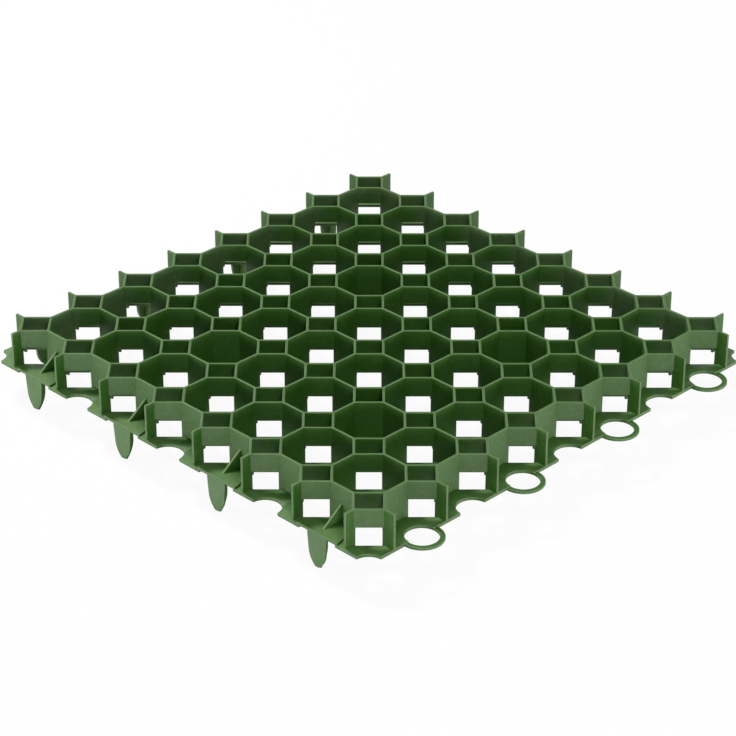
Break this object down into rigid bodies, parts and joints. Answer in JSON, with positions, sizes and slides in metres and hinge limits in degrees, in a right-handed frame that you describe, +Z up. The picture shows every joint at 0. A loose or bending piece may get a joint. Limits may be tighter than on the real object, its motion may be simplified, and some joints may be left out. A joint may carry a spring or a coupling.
{
  "type": "grass paver grid",
  "caption": "Square moulded plastic tile of open octagon and small square cells on a pierced floor, with rings and spikes on its edges to lock tiles together; holds turf or gravel.",
  "frame": {"origin": "middle of the 500 mm module, on the underside of the floor", "axes": "+X and +Y along the tile's edges towards the two ringed edges, +Z up through the open cells"},
  "size_m": [0.5189, 0.5189, 0.0683],
  "materials": {
    "green_plastic": "moulded, slightly mottled dark green"
  },
  "bodies": {
    "root": {"paver_grid": "green_plastic"}
  },
  "joints": []
}
